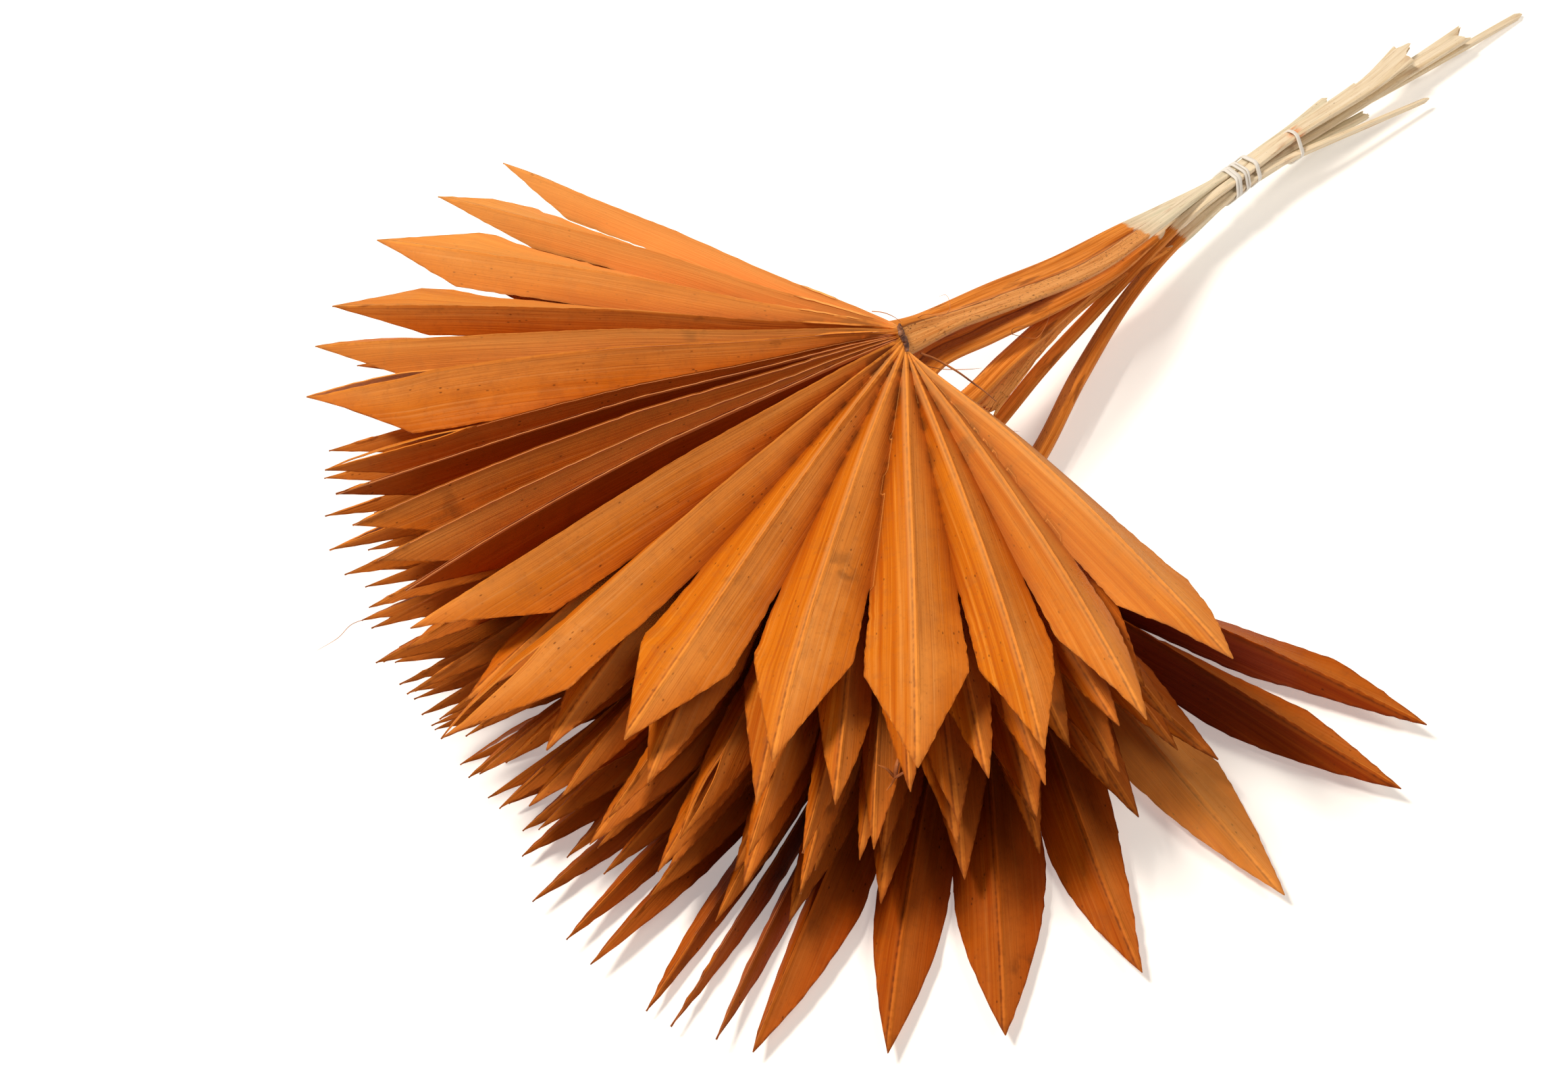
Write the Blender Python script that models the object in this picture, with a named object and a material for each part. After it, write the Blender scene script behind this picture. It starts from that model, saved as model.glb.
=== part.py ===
"""A bunch of seven dried, dyed fan palm leaves, tied with elastic near the cut ends and lying on its side.

Run with: blender --background --python part.py
Metres, +Z up. The petioles run along X: the leaf tips point to -X and the cut ends to +X. The surface that the
bunch lies on is z = 0, and the origin is the middle of the bunch's footprint.

Each leaf is a pleated blade and a petiole. A blade is a fan of lobes round the hastula, the point where the petiole
meets it. Every lobe is one roof-shaped fold: its ridge is the midrib, and neighbouring lobes join along the valley
between them as far as the split, beyond which each runs free to its own point.
"""

import math
import random

import bmesh
import bpy
from mathutils import Vector

MM = 0.001

# --- the bunch ---------------------------------------------------------------------------------------------------
PETIOLE_REACH = 200 * MM        # from the tie, along the petiole, to the hastula
PILE_CENTRE = Vector((-200 * MM, -8 * MM))   # the blades droop away from here, in plan
DROOP_RADIUS = 170 * MM         # the distance at which a blade has drooped by its own droop

# --- a blade -----------------------------------------------------------------------------------------------------
LEAF_THICKNESS = 0.8 * MM       # measured straight down; the real leaf is 0.4 to 0.5 mm square to its face
BLADE_START = 8 * MM            # inner edge of the pleats, round the hastula
FULL_FOLD = 92 * MM             # distance at which the folds have reached their full height
SPLIT = 0.60                    # share of a lobe's reach where it parts from its neighbours
# Degrees between ridges, against the angle from the tightest folds. A leaf part-closed like a hand fan has tight
# folds in the middle and lies open at the sides.
SPACING = ((-75, 8), (-45, 9), (-28, 7), (-10, 4), (5, 4.2), (18, 8), (32, 12.5), (60, 14.5), (85, 11.5), (120, 12))
# Height of a fold from valley to ridge, against the degrees between ridges.
FOLD_HEIGHT = ((3, 9.4 * MM), (6, 8.6 * MM), (9, 7.2 * MM), (13, 5.2 * MM), (19, 3.4 * MM))

# --- the leaves, from the top of the pile down ---------------------------------------------------------------------
# bearing: direction from the tie to the hastula, in degrees. level: height of the blade at the hastula.
# span: first and last ridge, in degrees from the petiole's line. tight: where the tightest folds are, likewise.
# reach: a lobe's length against its angle. point: length of its pointed end. rounded: 1 is a straight cut with
# scissors, and more is a fuller, leaf-shaped end. slot: the petiole's place in the bundle, in degrees round a middle
# one. gather: over 1 the petiole reaches the bundle's line late, and under 1 early. end: the cut end, from the tie.
LEAVES = (
    dict(name="leaf_1", bearing=180.0, level=85, droop=11, span=(-79, 79), tight=-20, point=37, rounded=1.0,
         reach=((-79, 161), (-63, 183), (-41, 195), (-10, 200), (3, 207), (14, 181), (42, 169), (79, 164)),
         slot=60, gather=1.5, end=(80, 0.5, 19), neck_width=10.6, end_width=4.6),
    dict(name="leaf_2", bearing=175.5, level=70.5, droop=10, span=(-72, 84), tight=-14, point=42, rounded=1.1,
         reach=((-72, 150), (-35, 172), (0, 184), (25, 176), (50, 168), (84, 160)),
         slot=0, gather=1.5, end=(64, 5.5, 15.5), neck_width=9.2, end_width=4.8),
    dict(name="leaf_3", bearing=180.6, level=58, droop=8.5, span=(-70, 76), tight=-27, point=46, rounded=1.2,
         reach=((-70, 150), (-35, 178), (-10, 190), (15, 176), (40, 156), (76, 146)),
         slot=None, gather=1.5, end=(139, -12, 10), neck_width=10.4, end_width=8.0),
    dict(name="leaf_4", bearing=182.4, level=46, droop=7.5, span=(-68, 80), tight=-10, point=44, rounded=1.1,
         reach=((-68, 148), (-30, 182), (0, 196), (20, 186), (34, 168), (80, 142)),
         slot=300, gather=1.5, end=(180, -19, 2.6), neck_width=8.6, end_width=3.0),
    dict(name="leaf_5", bearing=183.7, level=34, droop=6.5, span=(-66, 78), tight=-18, point=48, rounded=1.2,
         reach=((-66, 146), (-30, 192), (-5, 194), (15, 176), (40, 150), (78, 138)),
         slot=240, gather=1.5, end=(76, -12, 8), neck_width=9.6, end_width=4.2),
    dict(name="leaf_6", bearing=184.9, level=22, droop=5, span=(-72, 82), tight=2, point=50, rounded=1.3,
         reach=((-72, 150), (-38, 192), (-10, 196), (15, 186), (40, 152), (82, 140)),
         slot=120, gather=0.33, end=(114, -9, 18), neck_width=6.6, end_width=9.4),
    dict(name="leaf_7", bearing=189.2, level=10, droop=4, span=(-78, 95), tight=6, point=66, rounded=1.6,
         reach=((-78, 150), (-40, 172), (-20, 190), (-8, 206), (12, 211), (24, 199), (47, 175), (95, 165)),
         slot=180, gather=1.0, end=(103, -23, 6), neck_width=7.4, end_width=1.4),
)

# --- a petiole ---------------------------------------------------------------------------------------------------
TIE_HEIGHT = 20 * MM            # the middle of the bundle above the surface, at the tie
SLOT_RADIUS = 4 * MM            # six petioles stand round a seventh at the tie
TIE_WIDTH = 3.6 * MM            # a petiole's width at the tie, where they are slimmest
TIE_THICKNESS = 3.4 * MM
NECK_THICKNESS = 4.6 * MM       # at the hastula
END_THICKNESS = 3.0 * MM        # at the cut end
NECK_PAST_HASTULA = 4.2 * MM    # the neck's end stands this far inside the pleats
NECK_DROP = 1.2 * MM            # the neck's middle below the blade's level
SECTION_SIDES = 10

# --- the elastic ----------------------------------------------------------------------------------------------------
WRAPS = (("elastic_wrap_1", -6 * MM, 0.20), ("elastic_wrap_2", -1.6 * MM, 0.14),
         ("elastic_wrap_3", 3.4 * MM, -0.06), ("elastic_wrap_4", 31 * MM, 0.10))   # name, place, lean
ELASTIC_RADIUS = 0.8 * MM
GAP = 0.35 * MM                 # between pieces that touch
WRAP_POINTS = 28

COLOURS = {"dyed_leaf": (0.62, 0.20, 0.03), "petiole": (0.60, 0.42, 0.22), "elastic": (0.80, 0.79, 0.77)}


def along(points, x):
    """The value at x on the straight lines through (x, value) points."""
    if x <= points[0][0]:
        return points[0][1]
    for (x0, y0), (x1, y1) in zip(points, points[1:]):
        if x <= x1:
            return y0 + (y1 - y0) * (x - x0) / (x1 - x0)
    return points[-1][1]


def smooth(t):
    t = min(1.0, max(0.0, t))
    return t * t * (3 - 2 * t)


def heading(angle):
    return Vector((math.cos(angle), math.sin(angle)))


def hastula(leaf):
    """Where a leaf's petiole meets its blade, in plan."""
    return heading(math.radians(leaf["bearing"])) * PETIOLE_REACH


# --- blades -------------------------------------------------------------------------------------------------------
def lobes_of(leaf):
    """Each lobe's ridge direction, reach and fold, and the directions of the valleys on both sides of it."""
    chance = random.Random(leaf["name"])
    angles = [leaf["span"][0]]
    while angles[-1] + along(SPACING, angles[-1] - leaf["tight"]) * 0.8 < leaf["span"][1]:
        step = along(SPACING, angles[-1] - leaf["tight"])
        angles.append(angles[-1] + step * chance.uniform(0.92, 1.08))
    lobes = []
    for i, angle in enumerate(angles):
        before = angle - angles[i - 1] if i else angles[1] - angles[0]
        after = angles[i + 1] - angle if i + 1 < len(angles) else before
        reach = along(leaf["reach"], angle) * MM * chance.uniform(0.98, 1.02)
        lobes.append(dict(
            ridge=math.radians(leaf["bearing"] + angle),
            valleys=(math.radians(leaf["bearing"] + angle - before / 2),
                     math.radians(leaf["bearing"] + angle + after / 2)),
            reach=reach,
            corner=reach - leaf["point"] * MM * chance.uniform(0.9, 1.1),
            fold=along(FOLD_HEIGHT, (before + after) / 2),
        ))
    for lobe, following in zip(lobes, lobes[1:]):
        shared = SPLIT * min(lobe["reach"], following["reach"]) * chance.uniform(0.92, 1.05)
        lobe["after_split"] = following["before_split"] = shared
        lobe["after_fold"] = following["before_fold"] = (lobe["fold"] + following["fold"]) / 2
    lobes[0]["before_split"], lobes[0]["before_fold"] = SPLIT * lobes[0]["reach"], lobes[0]["fold"]
    lobes[-1]["after_split"], lobes[-1]["after_fold"] = SPLIT * lobes[-1]["reach"], lobes[-1]["fold"]
    return lobes


def base_height(leaf, place):
    """Mean height of a blade at a place in plan: level at the pile's centre and drooping away from it."""
    away = (place - PILE_CENTRE).length / DROOP_RADIUS
    return (leaf["level"] - leaf["droop"] * away * away) * MM


def rise(radius):
    """How much of a fold's full height it has at this distance from the hastula."""
    return min(1.0, max(0.0, (radius - BLADE_START) / (FULL_FOLD - BLADE_START))) ** 0.85


def ridge_point(leaf, lobe, radius):
    place = hastula(leaf) + heading(lobe["ridge"]) * radius
    return Vector((*place, base_height(leaf, place) + lobe["fold"] / 2 * rise(radius)))


def edge_point(leaf, lobe, radius, side):
    """The lobe's edge beside that point of its ridge: the shared valley, and past the split the free edge."""
    valley = lobe["valleys"][side]
    split = lobe[("before_split", "after_split")[side]]
    depth = lobe["fold"] / 2 + lobe[("before_fold", "after_fold")[side]] / 2
    if radius <= split:
        place = hastula(leaf) + heading(valley) * radius
        return Vector((*place, base_height(leaf, place) + (lobe["fold"] / 2 - depth) * rise(radius)))
    swing = valley - lobe["ridge"]
    half = split * abs(math.sin(swing))
    forward = split * math.cos(swing)
    taper = 1.0
    if radius > lobe["corner"]:
        taper = 1 - ((radius - lobe["corner"]) / (lobe["reach"] - lobe["corner"])) ** leaf["rounded"]
    out = heading(lobe["ridge"] + math.copysign(math.pi / 2, swing))
    settle = smooth((radius - split) / (0.3 * split))
    line = forward + (radius - split) + (split - forward) * settle
    place = hastula(leaf) + heading(lobe["ridge"]) * line + out * half * taper
    ridge = hastula(leaf) + heading(lobe["ridge"]) * line
    height = base_height(leaf, ridge) + (lobe["fold"] / 2 - depth * taper) * rise(radius)
    return Vector((*place, height))


def stations(leaf, lobe, side):
    """Distances from the hastula at which a half-lobe's edge has a point, up to but not at its tip."""
    split = lobe[("before_split", "after_split")[side]]
    pointed = [lobe["corner"]]
    if leaf["rounded"] > 1:
        pointed.append(lobe["corner"] + 0.5 * (lobe["reach"] - lobe["corner"]))
    return [BLADE_START, 0.35 * split, 0.7 * split, split, *pointed]


def blade(leaf, material):
    """The pleated sheet, built half-lobe by half-lobe, joined at the ridges and valleys and given its thickness."""
    sheet = bmesh.new()
    for lobe in lobes_of(leaf):
        tip = ridge_point(leaf, lobe, lobe["reach"])
        for side in (0, 1):
            rows = stations(leaf, lobe, side)
            edge = [sheet.verts.new(edge_point(leaf, lobe, radius, side)) for radius in rows]
            middle = [sheet.verts.new(ridge_point(leaf, lobe, radius)) for radius in ridge_rows(leaf, lobe)]
            end = sheet.verts.new(tip)
            for i in range(len(rows) - 1):
                corners = [middle[i], middle[i + 1], edge[i + 1], edge[i]]
                sheet.faces.new(corners if side else corners[::-1])
            last = [middle[-1], end, edge[-1]]
            sheet.faces.new(last if side else last[::-1])
    bmesh.ops.remove_doubles(sheet, verts=sheet.verts, dist=0.02 * MM)
    bmesh.ops.triangulate(sheet, faces=sheet.faces)
    bmesh.ops.recalc_face_normals(sheet, faces=sheet.faces)
    if sum(face.normal.z for face in sheet.faces) < 0:
        bmesh.ops.reverse_faces(sheet, faces=sheet.faces)
    lower = bmesh.ops.extrude_face_region(sheet, geom=sheet.faces[:] + sheet.edges[:], use_keep_orig=True)
    moved = [item for item in lower["geom"] if isinstance(item, bmesh.types.BMVert)]
    bmesh.ops.translate(sheet, verts=moved, vec=(0, 0, -LEAF_THICKNESS))
    bmesh.ops.recalc_face_normals(sheet, faces=sheet.faces)
    return add_mesh(leaf["name"] + "_blade", sheet, material)


def ridge_rows(leaf, lobe):
    """The ridge's own distances. Both half-lobes share them, so that their faces meet along it."""
    return [(a + b) / 2 for a, b in zip(stations(leaf, lobe, 0), stations(leaf, lobe, 1))]


# --- petioles -----------------------------------------------------------------------------------------------------
def slot_of(leaf):
    """A petiole's place across the bundle at the tie: y and z from the bundle's middle."""
    if leaf["slot"] is None:
        return Vector((0, 0))
    return heading(math.radians(leaf["slot"])) * SLOT_RADIUS


def petiole_centre(leaf, x):
    """The petiole's centreline at x. The hastula is at negative x and the cut end at positive x."""
    slot = slot_of(leaf)
    height = TIE_HEIGHT + slot.y
    if x <= 0:
        target = hastula(leaf)
        share = x / target.x
        gathered = share ** leaf["gather"] if leaf["gather"] >= 1 else 1 - (1 - share) ** (1 / leaf["gather"])
        if share > 1:
            gathered = share
        level = leaf["level"] * MM - NECK_DROP
        return Vector((x, slot.x + (target.y - slot.x) * gathered, height + (level - height) * share ** 1.12))
    end = Vector(leaf["end"]) * MM
    share = x / end.x
    return Vector((x, slot.x + (end.y - slot.x) * share, height + (end.z - height) * share ** 1.2))


def petiole_size(leaf, x):
    """Width and thickness: wide and flat at the hastula, slim at the tie, and the cut end's own width."""
    if x <= 0:
        share = min(1.0, -x / PETIOLE_REACH)
        return (TIE_WIDTH + (leaf["neck_width"] * MM - TIE_WIDTH) * smooth(share * 1.5),
                TIE_THICKNESS + (NECK_THICKNESS - TIE_THICKNESS) * share)
    share = x / (leaf["end"][0] * MM)
    return (TIE_WIDTH + (leaf["end_width"] * MM - TIE_WIDTH) * share,
            TIE_THICKNESS + (END_THICKNESS - TIE_THICKNESS) * share)


def petiole(leaf, material):
    """A slim stalk, lofted through its cross-sections."""
    first = hastula(leaf).x - NECK_PAST_HASTULA
    last = leaf["end"][0] * MM
    places = [first, first * 0.8, first * 0.6, first * 0.4, first * 0.25, first * 0.1, 0, last * 0.35, last * 0.7, last]
    stalk = bmesh.new()
    rings = []
    for x in places:
        width, thick = petiole_size(leaf, x)
        centre = petiole_centre(leaf, x)
        ring = []
        for i in range(SECTION_SIDES):
            turn = 2 * math.pi * (i + 0.5) / SECTION_SIDES
            ring.append(stalk.verts.new(centre + Vector((0, width / 2 * math.cos(turn), thick / 2 * math.sin(turn)))))
        rings.append(ring)
    for ring, following in zip(rings, rings[1:]):
        for i in range(SECTION_SIDES):
            j = (i + 1) % SECTION_SIDES
            stalk.faces.new([ring[i], ring[j], following[j], following[i]])
    stalk.faces.new(rings[0])
    stalk.faces.new(rings[-1][::-1])
    bmesh.ops.recalc_face_normals(stalk, faces=stalk.faces)
    return add_mesh(leaf["name"] + "_petiole", stalk, material)


# --- the elastic --------------------------------------------------------------------------------------------------
def farthest(leaf, x, out):
    """The point of a petiole's section at x that lies farthest in the direction out, which is across the bundle."""
    width, thick = petiole_size(leaf, x)
    reach = math.hypot(width / 2 * out.y, thick / 2 * out.z)
    return petiole_centre(leaf, x) + Vector((0, (width / 2) ** 2 * out.y, (thick / 2) ** 2 * out.z)) / reach


def elastic_wrap(name, x, lean, material):
    """One turn of elastic, drawn tight round the petioles that reach it."""
    held = [leaf for leaf in LEAVES if leaf["end"][0] * MM > x]
    middle = sum((petiole_centre(leaf, x) for leaf in held), Vector()) / len(held)
    points = []
    for i in range(WRAP_POINTS):
        turn = 2 * math.pi * i / WRAP_POINTS
        out = Vector((0, math.cos(turn), math.sin(turn)))
        place = max((farthest(leaf, x, out) for leaf in held), key=lambda point: point.dot(out))
        place += out * (GAP + ELASTIC_RADIUS)
        points.append(place + Vector((lean * (place.z - middle.z), 0, 0)))
    curve = bpy.data.curves.new(name, "CURVE")
    curve.dimensions = "3D"
    curve.bevel_depth = ELASTIC_RADIUS
    curve.bevel_resolution = 1
    spline = curve.splines.new("POLY")
    spline.points.add(WRAP_POINTS - 1)
    for point, place in zip(spline.points, points):
        point.co = (*place, 1)
    spline.use_cyclic_u = True
    wrap = bpy.data.objects.new(name, curve)
    curve.materials.append(material)
    bunch.objects.link(wrap)
    return wrap


# --- building -----------------------------------------------------------------------------------------------------
def add_mesh(name, shape, material):
    mesh = bpy.data.meshes.new(name)
    shape.to_mesh(mesh)
    shape.free()
    mesh.materials.append(material)
    made = bpy.data.objects.new(name, mesh)
    bunch.objects.link(made)
    return made


def finish_material(name, roughness):
    material = bpy.data.materials.new(name)
    material.use_nodes = True
    shader = material.node_tree.nodes["Principled BSDF"]
    shader.inputs["Base Color"].default_value = (*COLOURS[name], 1)
    shader.inputs["Roughness"].default_value = roughness
    shader.inputs["Metallic"].default_value = 0
    return material


def stand_on_origin(objects):
    """Moves everything so that the origin is the middle of the footprint, at the height of the lowest point."""
    bpy.context.view_layer.update()
    graph = bpy.context.evaluated_depsgraph_get()
    points = []
    for made in objects:
        evaluated = made.evaluated_get(graph)
        mesh = evaluated.to_mesh()
        points += [evaluated.matrix_world @ vertex.co for vertex in mesh.vertices]
        evaluated.to_mesh_clear()
    low = Vector([min(point[axis] for point in points) for axis in range(3)])
    high = Vector([max(point[axis] for point in points) for axis in range(3)])
    shift = Vector((-(low.x + high.x) / 2, -(low.y + high.y) / 2, -low.z))
    for made in objects:
        made.location = shift


for old in list(bpy.data.objects):
    bpy.data.objects.remove(old, do_unlink=True)
bunch = bpy.data.collections.new("palm_leaf_bunch")
bpy.context.scene.collection.children.link(bunch)
leaf_material = finish_material("dyed_leaf", 0.5)
petiole_material = finish_material("petiole", 0.6)
elastic_material = finish_material("elastic", 0.55)
pieces = []
for one in LEAVES:
    pieces.append(blade(one, leaf_material))
    pieces.append(petiole(one, petiole_material))
for wrap_name, wrap_x, wrap_lean in WRAPS:
    pieces.append(elastic_wrap(wrap_name, wrap_x, wrap_lean, elastic_material))
stand_on_origin(pieces)
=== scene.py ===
"""The looks of a bunch of dried, dyed fan palm leaves, tied with elastic and lying on its side.

Everything is in metres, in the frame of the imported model: the stalks run along X with the leaf tips
at -X, and the surface that the bunch lies on is z = 0.
"""

import math
import random

import bpy
import numpy as np
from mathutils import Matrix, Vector


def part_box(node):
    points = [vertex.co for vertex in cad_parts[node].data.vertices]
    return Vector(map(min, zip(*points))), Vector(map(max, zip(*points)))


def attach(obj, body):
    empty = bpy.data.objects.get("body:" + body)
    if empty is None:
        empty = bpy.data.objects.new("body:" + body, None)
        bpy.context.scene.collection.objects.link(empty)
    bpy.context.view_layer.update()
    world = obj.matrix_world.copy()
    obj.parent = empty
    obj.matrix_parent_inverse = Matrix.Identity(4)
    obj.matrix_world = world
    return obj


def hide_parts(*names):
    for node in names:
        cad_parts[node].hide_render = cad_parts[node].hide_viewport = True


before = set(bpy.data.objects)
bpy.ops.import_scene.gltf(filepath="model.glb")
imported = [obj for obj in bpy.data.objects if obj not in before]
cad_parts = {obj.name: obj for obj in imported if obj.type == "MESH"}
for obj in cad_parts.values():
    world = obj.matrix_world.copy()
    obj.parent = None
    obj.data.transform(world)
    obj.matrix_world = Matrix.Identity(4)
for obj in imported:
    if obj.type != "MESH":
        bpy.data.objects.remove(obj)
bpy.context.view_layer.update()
bpy.ops.object.select_all(action="DESELECT")

# === The leaves ===
# Fan palm leaves, cut young, dried flat in a stack and dyed in a bath. Each blade is a fan of
# pleats that spread from the hastula, where the stalk ends. The ends of the lobes were cut to
# points with scissors before drying.

MM = 0.001

# The measures of a leaf, in mm and degrees. Where one changes from lobe to lobe it is a table of
# (direction, value), and a single number holds for all lobes.
#   bearing, level: where the hastula is, from the tie, and how high the blade is there, above the
#     tie's zero. droop: how far the blade hangs down at the rim of the pile.
#   ridges: direction of each lobe's midrib from the stalk's line. reach: a lobe's length.
#   valley: where the fold between two midribs lies, as a share of the way to the second, if not
#     halfway. deepest: the deepest fold. split: where lobes part, as a share of their reach.
#   grow: how much a lobe widens past that. slit: the lobes split along their rib near the tip.
#   point: length of a cut end. rounded: 1 is a straight cut, and more is fuller.
#    painted_shading: painted shade on the two halves of a lobe, deepening its colour where it lies in
#        shade, more on each lower leaf under the pile; below 0 it is painted light, which makes it
#        paler.
#   slot: the stalk's place in the bundle, as in the solid model, in degrees round a middle one.
#   via: places that it passes on its way there. end: its cut end. All are from the tie.
#   neck_width, end_width: the stalk's width at the hastula and at the cut end.
#   dyed_to: where the dye ends, from the tie.
LEAVES = (
    dict(name="leaf_1", bearing=180.0, level=85, droop=11, split=0.62, grow=0.06,
         deepest=((-60, 11), (-30, 19), (-8, 17), (5, 13)),
         # painted shade on the steep halves that lie in shade, and painted light on the lit lobes at
         # the edges
         painted_shading=(((-81.6, -0.95), (-66, -0.65), (-55, -0.4), (-40, 0), (60, 0), (67, -0.15),
                (78.8, -0.25)),
               ((-81.6, -0.8), (-66, -0.3), (-56, 0.4), (-50, -0.35), (-45, 0.1), (-33, 0.5),
                (-29, 1.4), (-26, 0.2), (-20.3, -0.15), (-15.6, 1.5), (-10.7, 0), (55.7, 0),
                (67, -0.2), (78.8, -0.3))),
         valley=((-60, 0.35), (-52, 0.3), (-47, 0.6), (-40, 0.6), (-31, 0.3), (-27.5, 0.3),
                 (-23, 0.62), (-18, 0.62), (-13, 0.28), (-6, 0.6), (6, 0.5)),
         ridges=(-81.6, -74, -65.8, -55.5, -49.7, -44.5, -33, -29, -25.5, -20.3, -15.6, -10.7,
                 -0.6, 13.3, 26.4, 42.1, 55.7, 67, 78.8),
         reach=((-81.6, 166), (-74, 177), (-65.8, 188), (-49.7, 195), (-44.5, 196), (-29, 190),
                (-15.6, 184), (-10.7, 190), (-0.6, 205), (13.3, 176), (26.4, 168), (42.1, 165),
                (67, 163), (78.8, 159)),
         point=37, rounded=1.0, slit=(5, 6, 12),
         slot=60, end=(77.5, -3.8, 19), neck_width=8.4, end_width=4.6, dyed_to=-64,
         via=((-177, -1.4, 75.6), (-150, -3, 66), (-105, -4, 50.5), (-50, 0.5, 33))),
    dict(name="leaf_2", bearing=175.5, level=70.5, droop=10, split=0.60, grow=0.05,
         # painted shade for the shade of the leaves above, deeper on each lower leaf
         deepest=9.8, painted_shading=(0.4, 0.4),
         ridges=(-70, -61, -52, -44, -37, -32, -27, -22, -18, -14, -9, -3, 5, 14, 24, 35, 43, 50,
                 58, 66, 77),
         reach=((-70, 150), (-37, 178), (-18, 190), (24, 185), (43, 180), (50, 176), (66, 170),
                (77, 160)),
         point=42, rounded=1.1, slit=(8,),
         slot=0, end=(68, 3.2, 15.5), neck_width=9.6, end_width=4.8, dyed_to=-62,
         via=((-170, 13.1, 61.8), (-140, 11.6, 54), (-100, 8.5, 43), (-65, 6.4, 34.5),
              (-40, 4.5, 28.5))),
    dict(name="leaf_3", bearing=180.6, level=58, droop=8.5, split=0.58, grow=0.05,
         deepest=9.6, painted_shading=(0.6, 0.6),
         ridges=(-66, -57, -48, -41, -35, -30, -25, -21, -16, -12, -8, -4, 1, 6, 12, 19, 25, 31,
                 36, 45, 55, 66),
         reach=((-66, 150), (-35, 180), (-16, 198), (-4, 192), (19, 186), (31, 180), (45, 167),
                (66, 146)),
         point=46, rounded=1.2, slit=(3, 15),
         slot=None, end=(137.5, -12.3, 10), neck_width=12.6, end_width=8.0, dyed_to=-52,
         via=((-180, 8, 52), (-150, 6.6, 46), (-115, 2, 39), (-80, -0.8, 31.5), (-50, 0.5, 25.5))),
    dict(name="leaf_4", bearing=182.4, level=46, droop=7.5, split=0.58, grow=0.05,
         deepest=9.4, painted_shading=(0.6, 0.6),
         ridges=(-64, -55, -47, -40, -34, -28, -23, -19, -15, -11, -6, 0, 7, 14, 21, 27, 32, 41,
                 51, 62, 72),
         reach=((-64, 148), (-28, 196), (-15, 195), (14, 190), (21, 186), (27, 183), (32, 169),
                (72, 142)),
         point=44, rounded=1.1, slit=(6,),
         slot=300, end=(180, -19, 2.6), neck_width=7.6, end_width=3.0, dyed_to=-46,
         via=((-176, -9.6, 41.5), (-148, -5.2, 36.6), (-110, 0, 31), (-80, 2.5, 26.5),
              (-50, 2.5, 20.5))),
    dict(name="leaf_5", bearing=183.7, level=34, droop=6.5, split=0.58, grow=0.06,
         deepest=9.4, painted_shading=(0.7, 0.7),
         ridges=(-62, -53, -45, -38, -32, -26, -21, -17, -12, -7, -2, 4, 10, 17, 24, 31, 39, 48,
                 59, 71),
         reach=((-62, 146), (-30, 192), (-5, 194), (15, 176), (40, 150), (71, 138)),
         point=48, rounded=1.2, slit=(),
         slot=240, end=(76, -9.4, 8), neck_width=7.4, end_width=4.2, dyed_to=-48,
         via=((-157, -7, 29), (-127, -2.4, 26), (-97, 1.4, 23.3), (-70, 1.2, 21),
              (-50, -1.5, 19.5))),
    dict(name="leaf_6", bearing=184.9, level=22, droop=5, split=0.57, grow=0.08,
         deepest=9.2, painted_shading=(0.8, 0.8),
         ridges=(-67, -57, -48, -40, -33, -27, -22, -17, -12, -7, -2, 3, 8, 14, 21, 29, 38, 48,
                 60, 73),
         reach=((-67, 150), (-38, 190), (-10, 192), (15, 184), (40, 152), (73, 140)),
         point=50, rounded=1.3, slit=(7,),
         slot=120, end=(108.5, -6.5, 18), neck_width=5.4, end_width=9.4, dyed_to=-44,
         via=((-163, -13, 20.4), (-128, -6, 19.4), (-102, -1.8, 18.2), (-72, -0.8, 21.7),
              (-50, -1.5, 25))),
    dict(name="leaf_7", bearing=189.2, level=10, droop=4,
         deepest=((70, 9), (83, 16)), grow=((46, 0.04), (64.4, 0.42), (83, 0.15)),
         # painted shade on the lobes in the pile's shadow, and painted light on the lit lobe at 64.4
         painted_shading=(((46, 1.1), (64.4, -0.4), (83, 2)),
               ((34, 1.2), (46, 0.9), (64.4, -0.4), (83, 0.8))),
         split=((-70, 0.55), (0, 0.55), (17, 0.64), (28, 0.75), (40, 0.73), (48, 0.55),
                (55, 0.42), (95, 0.42)),
         ridges=(-70, -60, -50, -42, -35, -28, -21, -16.4, -11, -6.5, -2.5, 2.9, 6, 8.9, 12.3,
                 22.5, 33.4, 46.5, 64.4, 83.2, 94.2),
         reach=((-70, 150), (-42, 172), (-21, 188), (-16.4, 196), (-11, 205), (-2.5, 210),
                (6, 214), (12.3, 212), (22.5, 202), (33.4, 193), (46.5, 177), (64.4, 170),
                (83.2, 169), (94.2, 165)),
         point=72, rounded=1.6, slit=(),
         slot=180, end=(104.4, -21.9, 6), neck_width=7.0, end_width=1.4, dyed_to=-40,
         via=((-160, -27.5, 11), (-117, -15.4, 14), (-79, -7.5, 17), (-50, -4.5, 19))),
)

PETIOLE_REACH = 200 * MM        # from the tie, along the stalk, to the hastula
PILE_CENTRE = Vector((-200 * MM, -8 * MM))   # the blades droop away from here, seen from above
DROOP_RADIUS = 170 * MM
LONGEST_END = LEAVES[3]["end"]  # the stalk that reaches furthest also lies lowest, and
LONGEST_THICKNESS = 3 * MM      # so it shows where the tie is

longest_low, longest_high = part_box("leaf_4_petiole")
neck_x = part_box("leaf_1_petiole")[0].x
neck = [vertex.co.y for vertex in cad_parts["leaf_1_petiole"].data.vertices
        if vertex.co.x < neck_x + 0.5 * MM]
TIE = Vector((longest_high.x - LONGEST_END[0] * MM, (min(neck) + max(neck)) / 2,
              longest_low.z - LONGEST_END[2] * MM + LONGEST_THICKNESS / 2))

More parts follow.
